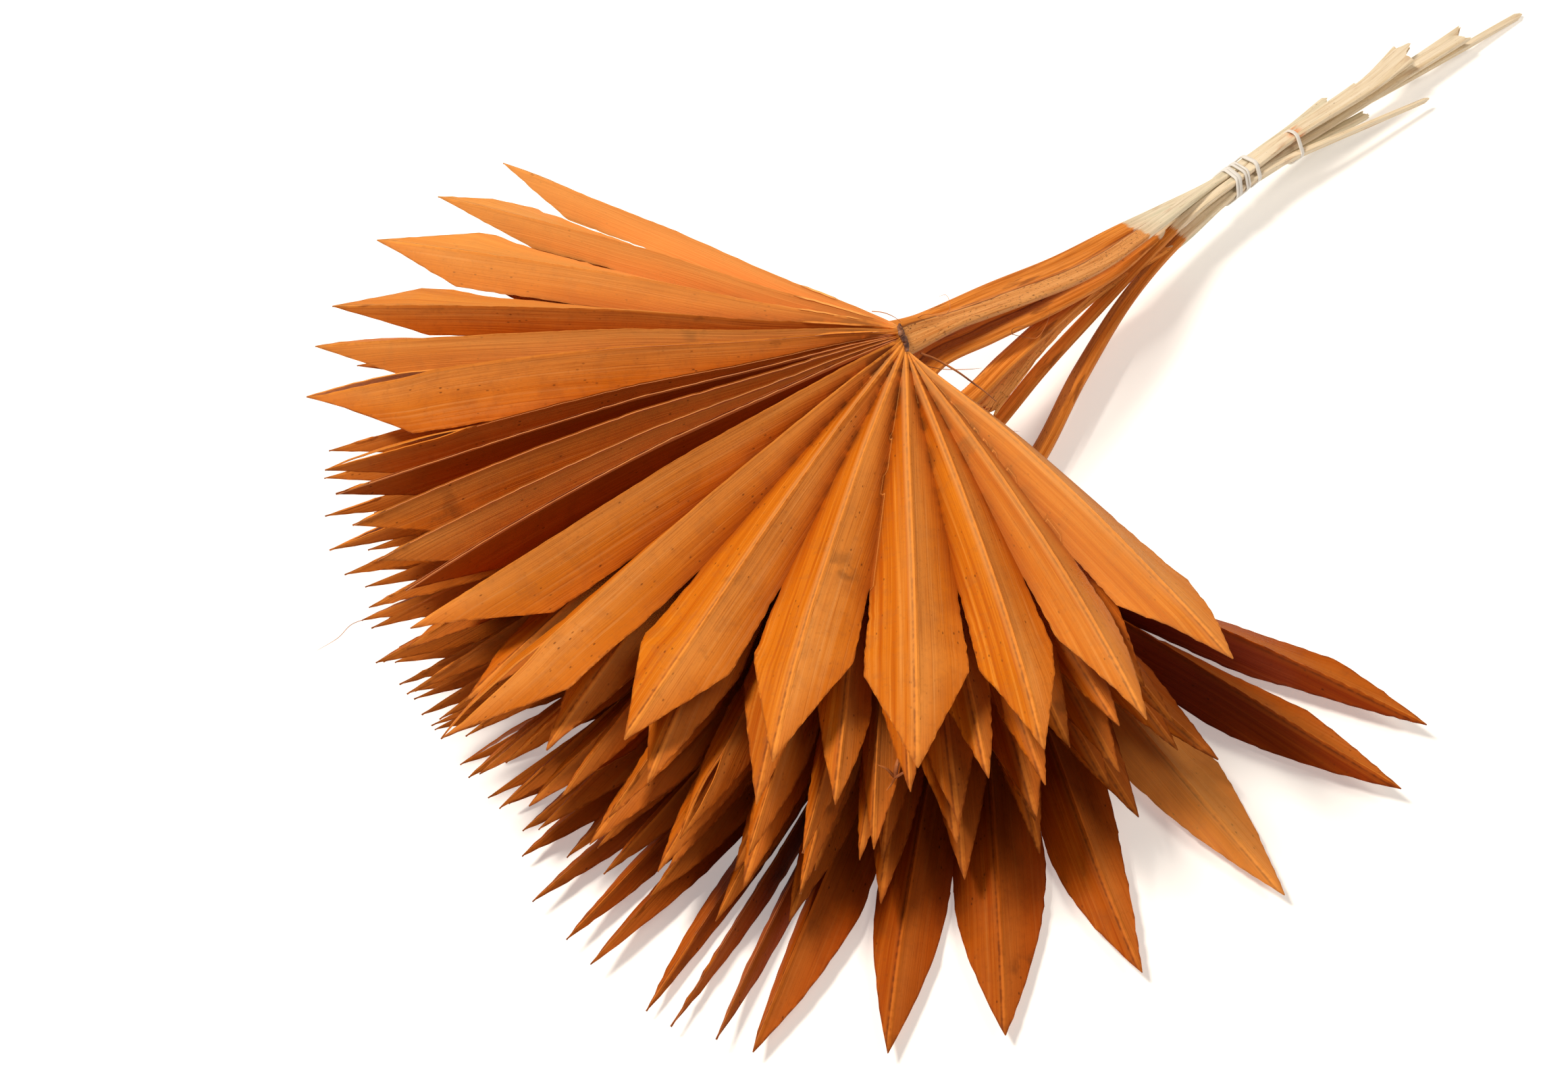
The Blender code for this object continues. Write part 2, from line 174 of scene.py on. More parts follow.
THICKNESS = 0.42 * MM           # of a dried lobe
INNER = 1.5 * MM                # where the pleats begin, round the hastula
KNUCKLE = Vector((2.0, 2.9, 1.8)) * MM   # half the hastula's slanting crest, where the pleats meet
ROW = 2.8 * MM                  # spacing of the mesh along a pleat
ROWS = 68
COLUMNS = 9                     # across half a pleat
RIB = 1.0 * MM                  # half the width of a midrib's bead
RIB_HEIGHT = 0.42 * MM
FULL_FOLD = 92 * MM             # distance from the hastula at which the folds are at their deepest
FOLD = ((3, 1.0), (6, 0.93), (9, 0.80), (13, 0.60), (19, 0.42))   # share of that, against spacing
SLIT_LENGTH = 46 * MM
GAP = 0.35 * MM                 # from a free edge to the middle of the gap between two lobes
FLATTEST = 0.975                # how wide a half can open, against its full width


def along(points, x):
    """The value at x on the straight lines through (x, value) points, or the one value for all."""
    if not isinstance(points, tuple):
        return points
    return float(np.interp(x, [point[0] for point in points], [point[1] for point in points]))


def smooth(t):
    """Eases from 0 at t = 0 to 1 at t = 1."""
    t = np.clip(t, 0, 1)
    return t * t * (3 - 2 * t)


def heading(angle):
    """A step of 1 in this direction, seen from above."""
    return Vector((math.cos(angle), math.sin(angle)))


def hastula(leaf):
    """Where a leaf's stalk ends and its pleats begin, seen from above, from the tie."""
    return heading(math.radians(leaf["bearing"])) * PETIOLE_REACH


def level_at(leaf, x, y):
    """Mean height of a blade, from the tie's zero. It droops away from the pile's middle."""
    away = ((x - PILE_CENTRE.x) ** 2 + (y - PILE_CENTRE.y) ** 2) / DROOP_RADIUS ** 2
    return (leaf["level"] - leaf["droop"] * away) * MM


def rise(radius):
    """How much of a fold's full depth it has at this distance from the hastula."""
    return np.clip((radius - INNER) / (FULL_FOLD - INNER), 0, 1) ** 0.85


def lobes_of(leaf):
    """What sets each lobe: its line, valleys, length, fold, tone, painted light and shade, and how it
    warped in drying.
    """
    chance = random.Random(leaf["name"])
    angles = leaf["ridges"]
    lobes = []
    for i, angle in enumerate(angles):
        before = angle - angles[i - 1] if i else angles[1] - angles[0]
        after = angles[i + 1] - angle if i + 1 < len(angles) else before
        reach = along(leaf["reach"], angle) * MM
        spacing = (before + after) / 2
        low = along(leaf.get("valley", 0.5), angle + after / 2) + 0.08 * chance.uniform(-1, 1)
        lobes.append(dict(
            ridge=math.radians(leaf["bearing"] + angle),
            swing=[math.radians(before / 2), math.radians(after * low)],
            reach=reach,
            corner=[reach - leaf["point"] * MM * chance.uniform(0.84, 1.14) for _ in range(2)],
            fold=(along(leaf["deepest"], angle) * MM * along(FOLD, spacing)
                  * chance.uniform(0.9, 1.05)),
            bend=chance.uniform(-3, 3) * MM,
            lift=chance.uniform(-2.4, 1.6) * MM,
            roll=chance.uniform(-0.14, 0.14),
            bulge=[chance.uniform(-0.5, 0.9) * MM for _ in range(2)],
            wave=chance.uniform(0, 6.28),
            curl=[chance.uniform(-0.5, 1.3) * MM for _ in range(2)],
            tone=chance.random(),
            grow=along(leaf["grow"], angle),
            # painted shade on each half of the lobe, and painted light where the value is below 0
            painted_shading=[along(table, angle) for table in leaf["painted_shading"]],
            seed=chance.randrange(10 ** 6),
            slit=(reach - SLIT_LENGTH * chance.uniform(0.7, 1.2) if i in leaf["slit"] else None),
        ))
    for i, lobe in enumerate(lobes):
        follower = lobes[min(i + 1, len(lobes) - 1)]
        between = (angles[i] + angles[min(i + 1, len(angles) - 1)]) / 2
        part = along(leaf["split"], between) * min(lobe["reach"], follower["reach"])
        part *= chance.uniform(0.92, 1.05)
        lobe["split"] = [None, INNER + round((part - INNER) / ROW) * ROW]
        lobe["shared"] = [None, (lobe["fold"] + follower["fold"]) / 2]
    lobes[0]["split"][0], lobes[0]["shared"][0] = lobes[0]["split"][1], lobes[0]["fold"]
    for lobe, follower in zip(lobes, lobes[1:]):
        follower["split"][0], follower["shared"][0] = lobe["split"][1], lobe["shared"][1]
        follower["swing"][0] = follower["ridge"] - lobe["ridge"] - lobe["swing"][1]
    return lobes


def rows_of(lobe):
    """Distances of the mesh's rows, shared by all lobes as far as they are joined."""
    joined = max(lobe["split"])
    inner = INNER + ROW * np.arange(round((joined - INNER) / ROW) + 1)
    first, second = sorted(lobe["corner"])
    first = max(first, joined + 2 * ROW)
    second = max(second, first + 0.5 * MM)
    left = ROWS + 1 - len(inner)
    to_first = max(2, round(left * (first - joined) / (lobe["reach"] - joined)))
    to_corner = np.linspace(joined, first, to_first + 1)[1:]
    to_tip = np.linspace(second, lobe["reach"], left - to_first)[1:]
    return np.concatenate([inner, to_corner, [second], to_tip])


def half_pleat(leaf, lobe, side):
    """Places and surface measures of half a lobe, from its rib out to the valley or the free edge.

    side 0 is the half towards smaller angles, on the right when looking out along the rib.
    """
    out = 1 if side == 0 else -1
    swing, split, shared = lobe["swing"][side], lobe["split"][side], lobe["shared"][side]
    radius = rows_of(lobe)[:, None]
    reach, corner = lobe["reach"], max(lobe["corner"][side], split + 2 * ROW)
    free = np.clip((radius - split) / (reach - split), 0, 1)
    loose = np.clip((radius - max(lobe["split"])) / (reach - max(lobe["split"])), 0, 1)

    # Past the split the half keeps its width, opens flatter as far as its neighbour leaves room,
    # leaves a thin gap to it, and is cut off slantwise towards the tip
    fold = (lobe["fold"] + shared) / 2
    whole = math.hypot(split * math.sin(swing), fold * float(rise(split)))
    whole = whole * (1 + lobe["grow"] * smooth(free / 0.45))
    room = radius * math.sin(swing) * (1 - 0.06 * smooth(free / 0.4))
    room = room - GAP * smooth(free / 0.06)
    open_across = np.minimum(room, FLATTEST * whole)
    open_depth = np.sqrt(whole ** 2 - open_across ** 2)
    taper = 1 - 0.985 * np.clip((radius - corner) / (reach - corner), 0, 1) ** leaf["rounded"]
    joined = radius <= split + 1e-6
    across = np.where(joined, radius * math.sin(swing), open_across * taper)
    depth = np.where(joined, fold * rise(radius), open_depth * taper)
    settle = smooth((radius - split) / (0.3 * split))
    parted = (split * math.cos(swing) + (radius - split)
              + split * (1 - math.cos(swing)) * settle)
    forward = np.where(joined, radius * math.cos(swing), parted)
    width = np.hypot(across, depth)

    # Shares of the way from the rib to the edge, closer together over the rib's bead
    bead = np.minimum(0.42, RIB * (1 - 0.35 * radius / reach) / width)
    share = np.concatenate([0 * bead, 0.45 * bead, bead,
                            bead + (1 - bead) * np.linspace(0, 1, COLUMNS - 1)[None, 1:]], axis=1)
    gap = 0 * radius
    if lobe["slit"]:
        gap = np.minimum(1.3 * MM * smooth((radius - lobe["slit"]) / (14 * MM)), 0.4 * across)
    grain = np.random.default_rng(lobe["seed"] + side)
    nicks = grain.normal(0, 0.11, len(radius)) + 0.5 * grain.normal(0, 0.3, len(radius)) ** 3
    nicks = nicks[:, None] * MM * smooth(free / 0.08) * share ** 6
    nicks = nicks * np.clip((reach - radius) / (6 * MM), 0, 1)
    line = radius + (forward - radius) * share
    offset = gap + (across - gap) * share + nicks
    sideways = out * offset + lobe["bend"] * loose ** 2
    ahead, right = heading(lobe["ridge"]), heading(lobe["ridge"] - math.pi / 2)
    start = hastula(leaf)
    x = start.x + ahead.x * line + right.x * sideways
    y = start.y + ahead.y * line + right.y * sideways

    # Round the hastula the pleats start side by side along its crest, and not from one point
    bearing = heading(math.radians(leaf["bearing"]))
    off_line = (x - start.x) * -bearing.y + (y - start.y) * bearing.x
    from_start = np.maximum(np.hypot(x - start.x, y - start.y), 0.5 * INNER)
    spread = -off_line / from_start * (1 - smooth(from_start / (60 * MM)))
    x, y = x + KNUCKLE.x * spread, y + KNUCKLE.y * spread

    # Each half bulges or dips and curls at its free edge, and each lobe lifts and rolls
    base = level_at(leaf, x, y) + 0.42 * lobe["fold"] * rise(radius) + KNUCKLE.z * spread
    height = base - depth * share
    panel = np.sin(np.pi * share) * np.minimum(1, width / (9 * MM))
    wave = 0.3 * MM * np.sin(radius / (11 * MM) + lobe["wave"] + side)
    height = height + panel * (lobe["bulge"][side] + wave)
    height = height + lobe["curl"][side] * share ** 3 * smooth(free / 0.5) * taper
    height = height + lobe["lift"] * loose ** 2 + lobe["roll"] * out * offset * smooth(loose)
    bump = np.zeros_like(share)
    bump[:, 0], bump[:, 1] = 1, 0.8
    beading = 1 + 0.22 * np.random.default_rng(lobe["seed"]).normal(0, 1, len(radius))[:, None]
    height = height + bump * beading * RIB_HEIGHT * np.minimum(1, width / (5 * MM))
    places = np.stack([x, y, height], axis=-1) + np.array(TIE)
    # the painted shade on a lobe fades towards its tip
    towards_tip = 1 - 0.4 * smooth(radius / reach / 0.45 - 1.2)
    even = np.ones_like(share)
    measures = dict(
        rib=width * share / MM * out,
        margin=width * (1 - share) / MM,
        along=radius / MM * even,
        to_tip=(reach - radius) / MM * even,
        tone=lobe["tone"] * even,
        painted_shading=lobe["painted_shading"][side] * towards_tip * even,
        free=free * even,
    )
    if side == 1:
        places = places[:, ::-1]
        measures = {name: value[:, ::-1] for name, value in measures.items()}
    return places, measures


def sheet_from(name, places, measures):
    """A grid with its corners at these places, row by row, and named measures at each of them."""
    rows, columns = places.shape[0] - 1, places.shape[1] - 1
    bpy.ops.mesh.primitive_grid_add(x_subdivisions=columns, y_subdivisions=rows, size=2)
    made = bpy.context.object
    made.name = name
    flat = np.empty(len(made.data.vertices) * 3)
    made.data.vertices.foreach_get("co", flat)
    column = np.rint((flat[0::3] + 1) / 2 * columns).astype(int)
    row = np.rint((flat[1::3] + 1) / 2 * rows).astype(int)
    made.data.vertices.foreach_set("co", places[row, column].ravel())
    for measure, values in measures.items():
        field = made.data.attributes.new(measure, "FLOAT", "POINT")
        field.data.foreach_set("value", values[row, column])
    return made


def join(name, parts, within):
    """Joins parts into one piece and merges the corners where they meet."""
    bpy.ops.object.select_all(action="DESELECT")
    for part in parts:
        part.select_set(True)
    bpy.context.view_layer.objects.active = parts[0]
    if len(parts) > 1:
        bpy.ops.object.join()
    joined = bpy.context.object
    joined.name = name
    bpy.ops.object.mode_set(mode="EDIT")
    bpy.ops.mesh.select_all(action="SELECT")
    bpy.ops.mesh.remove_doubles(threshold=within)
    bpy.ops.object.mode_set(mode="OBJECT")
    return joined


def settle_piece(piece, slot, material, smooth_angle, *nodes):
    """Gives a finished piece its material and shading, hangs it under the root, and hides the solid
    model's parts that it replaces.
    """
    if material:
        piece.data.materials.clear()
        piece.data.materials.append(material)
    bpy.ops.object.select_all(action="DESELECT")
    piece.select_set(True)
    bpy.context.view_layer.objects.active = piece
    bpy.ops.object.shade_smooth_by_angle(angle=math.radians(smooth_angle))
    piece.select_set(False)
    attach(piece, "root")
    if nodes:
        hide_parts(*nodes)


def colour(code):
    """A colour given in sRGB hex, as the linear values that Blender's materials take."""
    parts = [int(code[i:i + 2], 16) / 255 for i in (1, 3, 5)]
    return (*[part / 12.92 if part <= 0.04045 else ((part + 0.055) / 1.055) ** 2.4
              for part in parts], 1)


def plug(tree, socket, value):
    """Links another node's output to a socket, or sets a number or colour on it."""
    if isinstance(value, bpy.types.NodeSocket):
        tree.links.new(value, socket)
    elif value is not None:
        socket.default_value = value


def node(tree, kind, *inputs, out=None, **settings):
    """Adds a node with its settings, and its inputs in their order. Returns its output."""
    made = tree.nodes.new("ShaderNode" + kind)
    for name, value in settings.items():
        setattr(made, name, value)
    for socket, value in zip([socket for socket in made.inputs if socket.enabled], inputs):
        plug(tree, socket, value)
    return next(socket for socket in made.outputs if socket.enabled and out in (None, socket.name))


def where(tree, *ranges):
    """How far each measure has gone from its first value to its second, multiplied together."""
    share = node(tree, "MapRange", *ranges[0])
    for each in ranges[1:]:
        share = node(tree, "Math", share, node(tree, "MapRange", *each), operation="MULTIPLY")
    return share


def weighed(tree, start, *parts):
    """The sum of start and of measures that are each multiplied by a weight."""
    total = start
    for measure, weight in parts:
        total = node(tree, "Math", measure, weight, total, operation="MULTIPLY_ADD")
    return total


def coated(tree, base, *coats):
    """Lays colours over base in turn. A coat is its colour, the most that shows, and where."""
    for code, most, *ranges in coats:
        share = node(tree, "Math", where(tree, *ranges), most, operation="MULTIPLY")
        base = node(tree, "Mix", share, base, colour(code), data_type="RGBA")
    return base


def material_of(name, finish, *details):
    """A material whose shader gets the numbers, colours and links that finish makes in its tree."""
    material = bpy.data.materials.new(name)
    material.use_nodes = True
    tree = material.node_tree
    for socket, value in finish(tree, *details).items():
        plug(tree, tree.nodes["Principled BSDF"].inputs[socket], value)
    return material


# Dried palm lobe: a stiff leaf with parallel veins about 1 mm apart and finer ones between, a satin
# skin, and dye that soaked in unevenly. One side of each fold stayed tan and mottled, and the other
# took a deep, streaky orange. The underside is paler, with a pink bloom. The finest veins and the
# grit are drawn at about twice their real width, so that they show.
# Its colour also carries painted shade: along the valleys, as a broken shadow line beside each rib,
# and lobe by lobe, with painted light on some lobes.
def dyed_leaf(tree, underside):
    rib, margin, along_lobe, to_tip, tone, free, painted_shading = (
        node(tree, "Attribute", out="Fac", attribute_name=measure)
        for measure in ("rib", "margin", "along", "to_tip", "tone", "free", "painted_shading"))
    place = node(tree, "TexCoord", out="Object")
    apart = node(tree, "Math", tone, 91.0, operation="MULTIPLY")

    def streaks(width, length):
        """Places on a lobe, counted in streaks of this width and length in mm."""
        return node(tree, "CombineXYZ", node(tree, "Math", rib, 1 / width, operation="MULTIPLY"),
                    node(tree, "Math", along_lobe, 1 / length, operation="MULTIPLY"), apart)

    # Fine veins, the main ones, and bands that took the dye alike: width, length, detail
    fine, vein, broad = (
        node(tree, "TexNoise", streaks(width, length), 1.0, detail, 0.6)
        for width, length, detail in ((0.38, 32, 3.0), (1.05, 88, 2.0), (3.3, 110, 2.0)))
    # Clouds of dye, mottling, grit, mould, stains, and the breaks in a line: size, detail
    cloud, mottle, grit, mould, stain, breaks = (
        node(tree, "TexNoise", place, 1 / (size * MM), detail, 0.6)
        for size, detail in ((33, 3.0), (6.7, 3.0), (1.4, 2.0), (13.3, 2.0), (24, 2.0), (2.4, 1.0)))
    speck = node(tree, "TexVoronoi", streaks(2.0, 3.85), 1.0, out="Distance")
    beside = node(tree, "Math", rib, operation="ABSOLUTE")

    # The dye: tan and blotchy on one side, and deep and streaked along the veins on the other
    tan = coated(tree, colour("#CC7829"), ("#C26D1B", 1, (cloud, 0.38, 0.62)),
                 ("#A95F24", 0.55, (mottle, 0.46, 0.66)), ("#C66A14", 0.40, (vein, 0.52, 0.70)),
                 ("#DB9A5A", 0.35, (vein, 0.46, 0.30)), ("#DA944E", 0.42, (beside, 10.0, 1.5)),
                 ("#C0600E", 0.45, (margin, 8.0, 1.0)))
    deep = coated(tree, colour("#CE7414"), ("#BF6207", 1, (broad, 0.36, 0.64)),
                  ("#AF4D04", 0.60, (vein, 0.50, 0.68)), ("#E08E34", 0.55, (vein, 0.46, 0.30)),
                  ("#A4602A", 0.35, (mottle, 0.52, 0.74)))
    take = weighed(tree, 0, (broad, 0.9), (tone, 0.35), (where(tree, (rib, -0.8, 0.8)), 0.55))
    base = node(tree, "Mix", where(tree, (take, 0.72, 1.05)), tan, deep, data_type="RGBA")
    base = coated(
        tree, base, ("#9C4806", 0.45, (fine, 0.52, 0.74)), ("#8C5427", 0.22, (grit, 0.55, 0.75)),
        # Painted shade along the valleys, partly dye that pooled there, and near-black where they
        # close up near the hastula, partly grime. Then brown grime by the hastula
        ("#8E3502", 0.62, (margin, 4.5, 0.2), (free, 0.25, 0.0)),
        ("#45200A", 0.85, (along_lobe, 95.0, 15.0), (margin, 2.4, 0.1), (mottle, 0.40, 0.56)),
        ("#6B3A1C", 0.6, (along_lobe, 24.0, 4.0), (mottle, 0.40, 0.60)),
        # Specks of scale and mould, longer than wide because they follow the veins, and stains
        ("#5A2C0E", 0.7, (speck, 0.17, 0.08), (mould, 0.48, 0.60)),
        ("#7C4A22", 0.5, (stain, 0.66, 0.72), (mottle, 0.42, 0.60)),
        # The rib: a broken line of painted shadow beside its raised bead, a pale strip, and the bead.
        # Then the brown rim and the tip
        ("#692A06", 0.8, (beside, 1.5, 1.05), (rib, 0.35, 0.7), (breaks, 0.32, 0.60, 0.15, 1.0)),
        ("#DE9A58", 0.55, (rib, 2.8, 1.6), (rib, 0.0, 0.3), (along_lobe, 165.0, 90.0, 0.2, 1.0)),
        ("#E8923C", 0.8, (beside, 0.85, 0.50), (breaks, 0.70, 0.50, 0.45, 1.0)),
        ("#7E3C10", 0.65, (margin, 0.7, 0.15), (free, 0.0, 0.04), (breaks, 0.35, 0.55)),
        ("#8A4A1C", 0.6, (to_tip, 6.0, 0.0)))
    # Painted shade and painted light, half lobe by half lobe: the colour is multiplied deeper as the
    # measure rises from 0 to 2, and made paler as it falls from 0 to -1.
    for code, first, last in (("#C49C68", 0.0, 1.0), ("#987242", 1.0, 2.0)):
        base = node(tree, "Mix", where(tree, (painted_shading, first, last)), base, colour(code),
                    data_type="RGBA", blend_type="MULTIPLY")
    base = coated(tree, base, ("#F2AE62", 1, (painted_shading, 0.0, -1.0)))
    if underside:
        base = coated(tree, base, ("#CC9270", 1, (mottle, 0.35, 0.65, 0.35, 0.60)))
    relief = weighed(tree, 0, (fine, 0.40), (vein, 0.45), (mottle, 0.15))
    return {"Base Color": base, "Roughness": node(tree, "MapRange", vein, 0.3, 0.7, 0.50, 0.64),
            "IOR": 1.45, "Specular IOR Level": 0.07,
            "Normal": node(tree, "Bump", 0.7, 0.45 * MM, None, relief)}


leaf_faces = [material_of("dyed dried palm leaf", dyed_leaf, False),
              material_of("dyed dried palm leaf underside", dyed_leaf, True)]
for leaf in LEAVES:
    halves = []
    for lobe in lobes_of(leaf):
        for side in (0, 1):
            halves.append(sheet_from("half_pleat", *half_pleat(leaf, lobe, side)))
    blade = join(leaf["name"] + "_pleated_blade", halves, 0.02 * MM)
    for face in leaf_faces:
        blade.data.materials.append(face)
    wall = blade.modifiers.new("leaf thickness", "SOLIDIFY")
    wall.thickness = THICKNESS
    wall.offset = -1
    wall.material_offset = 1
    bpy.ops.object.modifier_apply(modifier=wall.name)
    settle_piece(blade, "dyed_leaf", None, 40, leaf["name"] + "_blade")

# === The stalks ===
# The leaves' own stalks, gathered into a bundle. Each is a tough strip of fibres, flat on top and
# rounded beneath, that was dipped in the dye as far as a line just before the tie. Shears and
# tearing left their ends slanted and ragged.

SLOT_RADIUS = 4 * MM            # at the tie, six stalks stand round a seventh
TIE_HEIGHT = 20 * MM
TIE_SIZE = (3.6 * MM, 3.4 * MM)     # a stalk's width and thickness at the tie
NECK_THICKNESS = 4.6 * MM
END_THICKNESS = 3.0 * MM
NECK_PAST_HASTULA = 0.5 * MM
NECK_DROP = 1.2 * MM
FLARE_LENGTH = 30 * MM          # of the part before the cut that widens
CUT_LENGTH = 22 * MM            # of the part that a slanting or ragged cut stretches
SLANT_LENGTH = 30 * MM          # how far the hastula's slant carries on into the stalk
STATIONS = 120                  # of the mesh along a stalk
SIDES = 36

# How each end was cut, in mm. skew: how much shorter the -Y side is. spike: a splinter left
# standing, and its place across the end, from -1 to 1. tear: how ragged the end is. flare: how
# much it widens towards +Y.
CUTS = {"leaf_1": (-2, (0, 0), 2.0, 0.5), "leaf_2": (3, (0, 0), 0.8, 0),
        "leaf_3": (-6, (11, 0.85), 5.0, 0), "leaf_4": (0, (0, 0), 0.3, 0),
        "leaf_5": (-2, (2, 0.5), 3.0, 0), "leaf_6": (2, (10, 0.25), 2.0, 2.4),
        "leaf_7": (0, (0, 0), 0.2, 0)}


def through(points, x):
    """The point at x on a smooth curve through points that are sorted by their first number."""
    known = np.array(points, float)
    slopes = np.gradient(known, known[:, 0], axis=0)
    i = int(np.clip(np.searchsorted(known[:, 0], x) - 1, 0, len(known) - 2))
    span = known[i + 1, 0] - known[i, 0]
    t = (x - known[i, 0]) / span
    return ((2 * t ** 3 - 3 * t ** 2 + 1) * known[i] + (3 * t ** 2 - 2 * t ** 3) * known[i + 1]
            + span * ((t ** 3 - 2 * t ** 2 + t) * slopes[i] + (t ** 3 - t ** 2) * slopes[i + 1]))


def stalk_centre(leaf, x):
    """The middle of a stalk at x from the tie. The hastula is at -X and the cut end at +X."""
    slot = Vector((0, 0))
    if leaf["slot"] is not None:
        slot = heading(math.radians(leaf["slot"])) * SLOT_RADIUS / MM
    neck_end = hastula(leaf) / MM
    points = [(neck_end.x, neck_end.y, leaf["level"] - NECK_DROP / MM), *leaf["via"],
              (0, slot.x, TIE_HEIGHT / MM + slot.y), leaf["end"]]
    return Vector(through(points, max(x / MM, neck_end.x - 5))) * MM


def stalk_size(leaf, x):
    """Width and thickness: wide and flat at the hastula, slim at the tie, then the cut end's."""
    if x <= 0:
        share = min(1.0, -x / PETIOLE_REACH)
        return (TIE_SIZE[0] + (leaf["neck_width"] * MM - TIE_SIZE[0]) * float(smooth(share * 1.5)),
                TIE_SIZE[1] + (NECK_THICKNESS - TIE_SIZE[1]) * share)
    share = x / (leaf["end"][0] * MM)
    return (TIE_SIZE[0] + (leaf["end_width"] * MM - TIE_SIZE[0]) * share,
            TIE_SIZE[1] + (END_THICKNESS - TIE_SIZE[1]) * share)


def stalk_form(leaf):
    """Places and measures of a stalk's skin, a row for each station, closed at both ends."""
    chance = random.Random(leaf["name"] + " stalk")
    first, last = hastula(leaf).x - NECK_PAST_HASTULA, leaf["end"][0] * MM
    skew, (spike, spot), tear, flare = CUTS[leaf["name"]]
    turns = np.arange(SIDES + 1) % SIDES * 2 * math.pi / SIDES
    c, s = np.cos(turns), np.sin(turns)
    ridges = [(number, chance.uniform(0.3, 1) * size, chance.uniform(0, 6.28),
               chance.uniform(-9, 9))
              for number, size in ((4, 0.030), (7, 0.035), (11, 0.032), (17, 0.022))]
    torn = np.array([chance.uniform(0, 1) ** 1.5 for _ in range(SIDES)])
    torn = (torn + np.roll(torn, 1)) / 2
    torn = np.append(torn, torn[0])
    cut = -skew * (1 - c) / 2 - tear * torn
    cut = cut + spike * np.clip(1 - np.abs(c - spot) / 0.4, 0, 1) ** 1.3
    phase = [chance.uniform(0, 6.28) for _ in range(4)]
    wander = chance.uniform(0.5, 1.1) * MM
    rows, measures = [], {"across": [], "deep": [], "station": [], "cut_end": []}
    shares = np.linspace(0, 1, STATIONS)
    caps = [(0, 0.45), (0, 0.85)] + [(share, 1) for share in shares] + [(1, 0.6), (1, 0.02)]
    for k, (share, closing) in enumerate(caps):
        x = first + (last - first) * share
        width, thick = stalk_size(leaf, x)
        flared = flare * max(0, 1 - (last - x) / FLARE_LENGTH) ** 1.5
        width *= 1 + flared / (width / MM)
        centre = stalk_centre(leaf, x)
        free = float(smooth(abs(x) / (50 * MM)))
        steadied = float(smooth((last - x) / (40 * MM)) + 0.3)
        centre.y += wander * free * math.sin(x / (31 * MM) + phase[0]) * steadied
        centre.z += 0.35 * MM * free * math.sin(x / (23 * MM) + phase[1])
        centre.y += flared * MM / 2
        blunt = math.sqrt(max(0.15, 1 - max(0, 1 - (last - x) / (3 * MM)) ** 2)) if tear < 1 else 1
        skin = 1 + sum(size * np.cos(number * turns + start + drift * x)
                       for number, size, start, drift in ridges)
        skin = skin + 0.015 * np.cos(3 * turns + x / (9 * MM) + phase[2])
        channel = np.where(s > 0, 1 - 0.42 * (1 - np.abs(c)), 1)
        y = width / 2 * np.sign(c) * np.abs(c) ** 0.85 * skin * closing * blunt
        z = thick / 2 * np.sign(s) * np.abs(s) ** 0.8 * channel * skin * closing * blunt
        slant = y / (leaf["neck_width"] * MM / 2) * (1 - float(smooth((x - first) / SLANT_LENGTH)))
        near_end = np.clip(1 - (last - x) / CUT_LENGTH, 0, 1)
        inset = (1 - closing) * (1.4 if share == 1 else 0.8)
        shift = ((cut * closing + np.median(cut) * (1 - closing)) * near_end - inset) * MM
        rows.append(np.stack([centre.x + shift + slant * KNUCKLE.x * 1.4, centre.y + y,
                              centre.z + z + slant * KNUCKLE.z * 1.4], axis=-1))
        measures["across"].append(y / MM)
        measures["deep"].append(z / MM)
        measures["station"].append((x + shift) / MM)
        measures["cut_end"].append(np.full(SIDES + 1, float(share == 1 and closing < 1)))
    places = np.array(rows) + np.array(TIE)
    return places, {name: np.array(values) for name, values in measures.items()}


